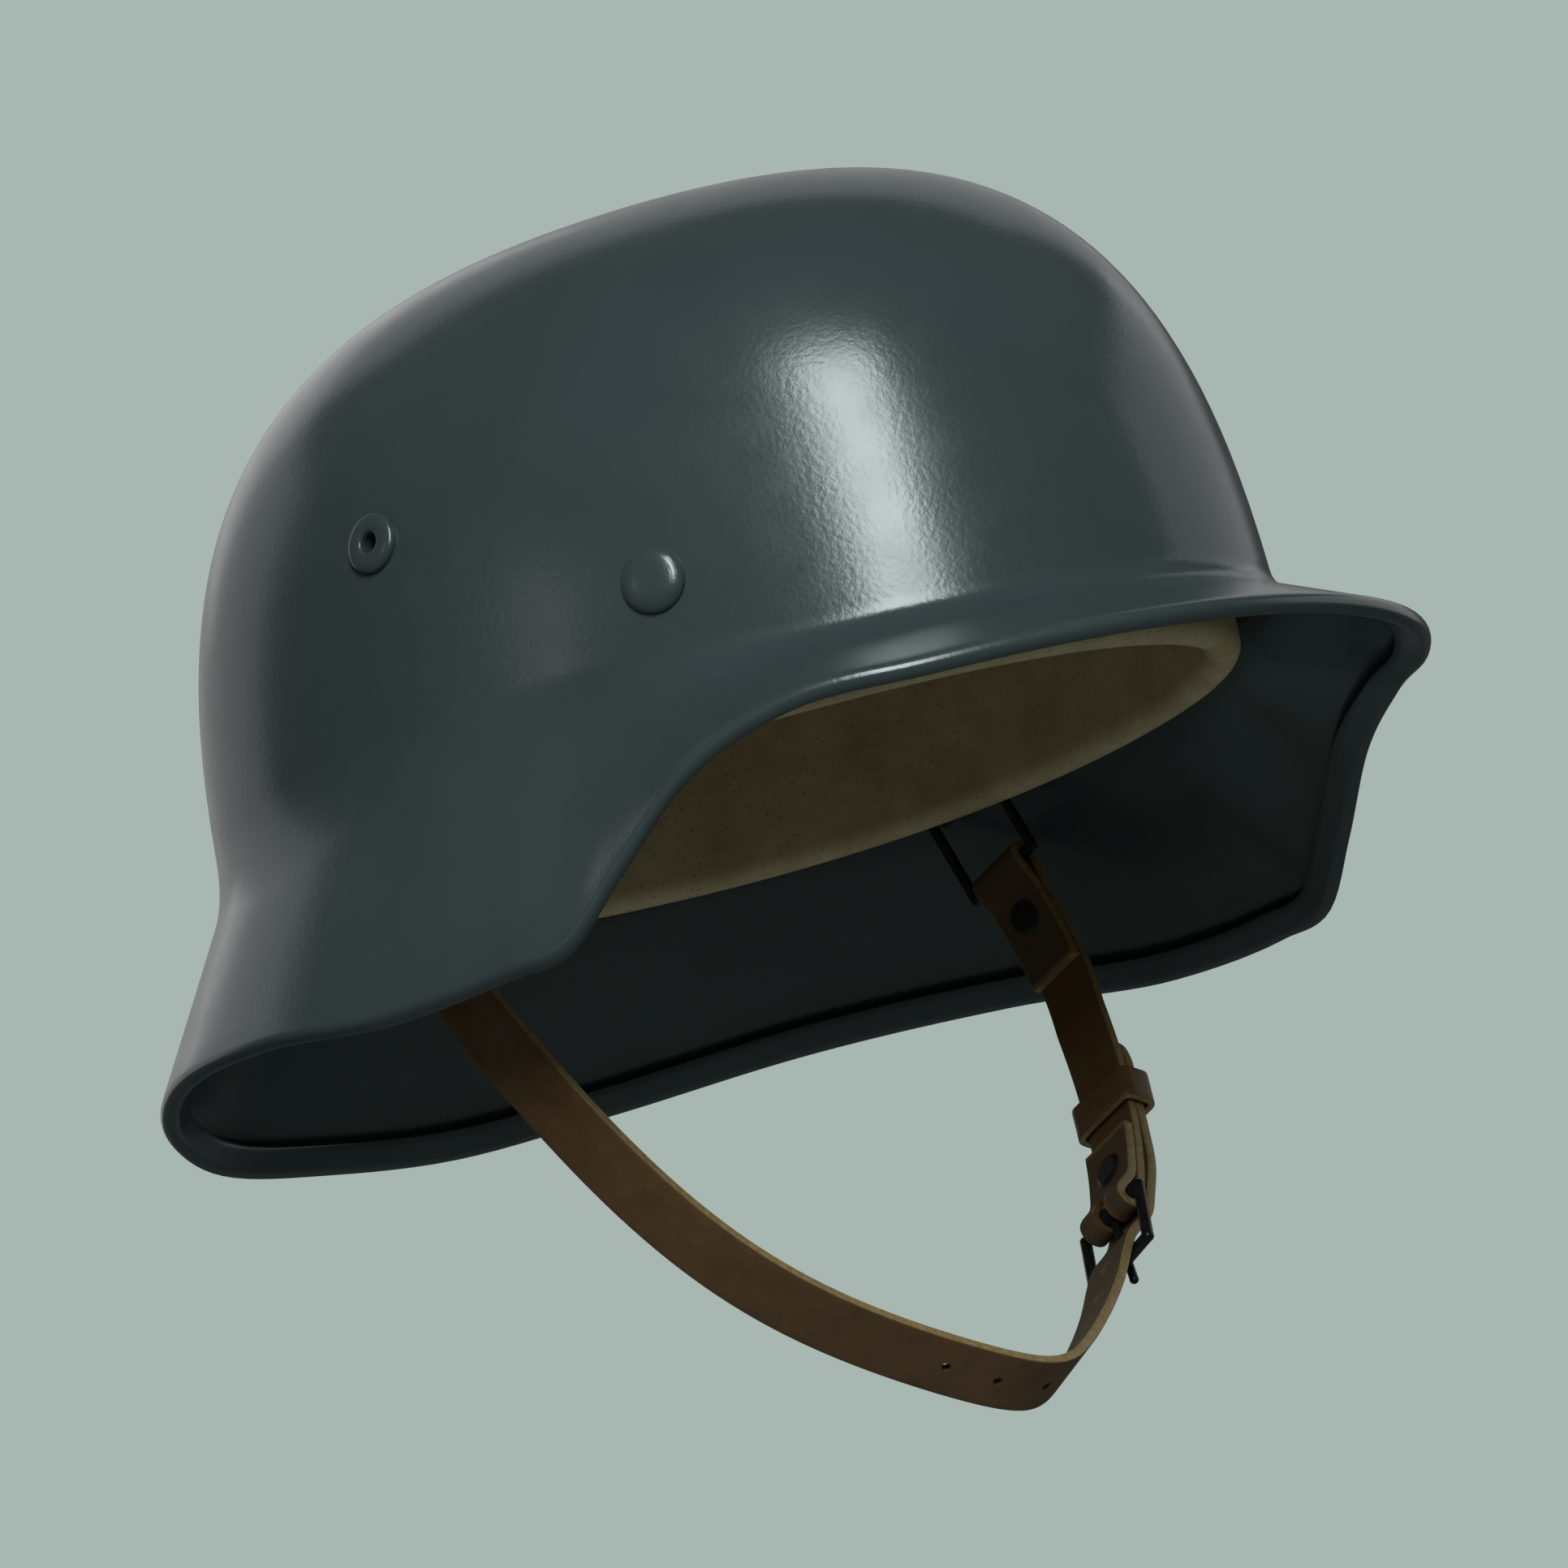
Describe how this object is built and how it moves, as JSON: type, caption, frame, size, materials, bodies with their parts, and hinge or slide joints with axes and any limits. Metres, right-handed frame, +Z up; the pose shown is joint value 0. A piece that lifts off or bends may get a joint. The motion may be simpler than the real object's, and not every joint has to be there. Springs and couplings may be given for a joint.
{
  "type": "steel combat helmet",
  "caption": "Pressed steel helmet with a visor, a flared skirt and a rolled rim, a sprung leather liner inside and a buckled leather chinstrap on wire bails",
  "frame": {"origin": "The centre of the head opening, level with the centre of the rim's roll at the ear corners and under the middle of the dome", "axes": "+X to the front through the visor, +Y to the wearer's left, +Z up to the crown"},
  "size_m": [0.283, 0.232, 0.247],
  "materials": {
    "field_paint": "semi-matt slate grey-green paint with a fine orange-peel texture over steel",
    "bare_steel": "dull bare steel",
    "band_steel": "galvanised sheet steel",
    "spring_steel": "blued spring steel",
    "black_steel": "black enamelled steel wire and plate",
    "liner_leather": "pale natural leather",
    "strap_leather": "dark olive brown leather with a paler cut edge",
    "felt": "grey wool felt",
    "cotton_cord": "twisted cotton cord"
  },
  "bodies": {
    "helmet": {"shell": "field_paint", "vent_bushing_right": "field_paint", "vent_bushing_left": "field_paint", "vent_washer_right": "bare_steel", "vent_washer_left": "bare_steel", "split_pin_right": "field_paint", "split_pin_left": "field_paint", "split_pin_rear": "field_paint", "pin_washer_right": "bare_steel", "pin_washer_left": "bare_steel", "pin_washer_rear": "bare_steel", "outer_band": "band_steel", "inner_band": "band_steel", "leaf_spring_front_right": "spring_steel", "leaf_spring_front_left": "spring_steel", "leaf_spring_rear_right": "spring_steel", "leaf_spring_rear_left": "spring_steel", "spring_rivets": "bare_steel", "felt_band": "felt", "leather_liner": "liner_leather", "liner_clips": "bare_steel", "drawstring": "cotton_cord", "bail_bracket_right": "black_steel", "bail_bracket_left": "black_steel", "bracket_rivets": "bare_steel"},
    "right_bail": {"bail_right": "black_steel"},
    "left_bail": {"bail_left": "black_steel"},
    "chinstrap": {"chinstrap_long": "strap_leather", "chinstrap_short": "strap_leather", "strap_stud_right": "black_steel", "strap_stud_left": "black_steel", "buckle_stud": "black_steel", "buckle_frame": "black_steel"},
    "prong": {"buckle_prong": "black_steel"},
    "keeper": {"strap_keeper": "strap_leather"}
  },
  "joints": [
    {"name": "bail_right_hinge", "type": "hinge", "parent": "helmet", "child": "right_bail", "pos_m": [-0.02551, -0.0865, 0.04174], "axis": [0.9336, 0, 0.3584], "range_deg": [-15, 15]},
    {"name": "bail_left_hinge", "type": "hinge", "parent": "helmet", "child": "left_bail", "pos_m": [-0.02551, 0.0865, 0.04174], "axis": [0.9336, 0, 0.3584], "range_deg": [-15, 15]},
    {"name": "chinstrap_pivot", "type": "hinge", "parent": "right_bail", "child": "chinstrap", "pos_m": [-0.0187, -0.0865, 0.024], "axis": [0.9336, 0, 0.3584], "range_deg": [-15, 15]},
    {"name": "prong_hinge", "type": "hinge", "parent": "chinstrap", "child": "prong", "pos_m": [0.01058, 0.05944, -0.05349], "axis": [0.9188, -0.0226, 0.3941], "range_deg": [0, 30]},
    {"name": "keeper_slide", "type": "slide", "parent": "chinstrap", "child": "keeper", "axis": [-0.3245, 0.3768, 0.8676], "range_m": [-0.004, 0.004]}
  ],
  "couplings": [
    {"joint": "bail_left_hinge", "follows": "bail_right_hinge", "ratio": 1},
    {"joint": "chinstrap_pivot", "follows": "bail_right_hinge", "ratio": -1}
  ]
}
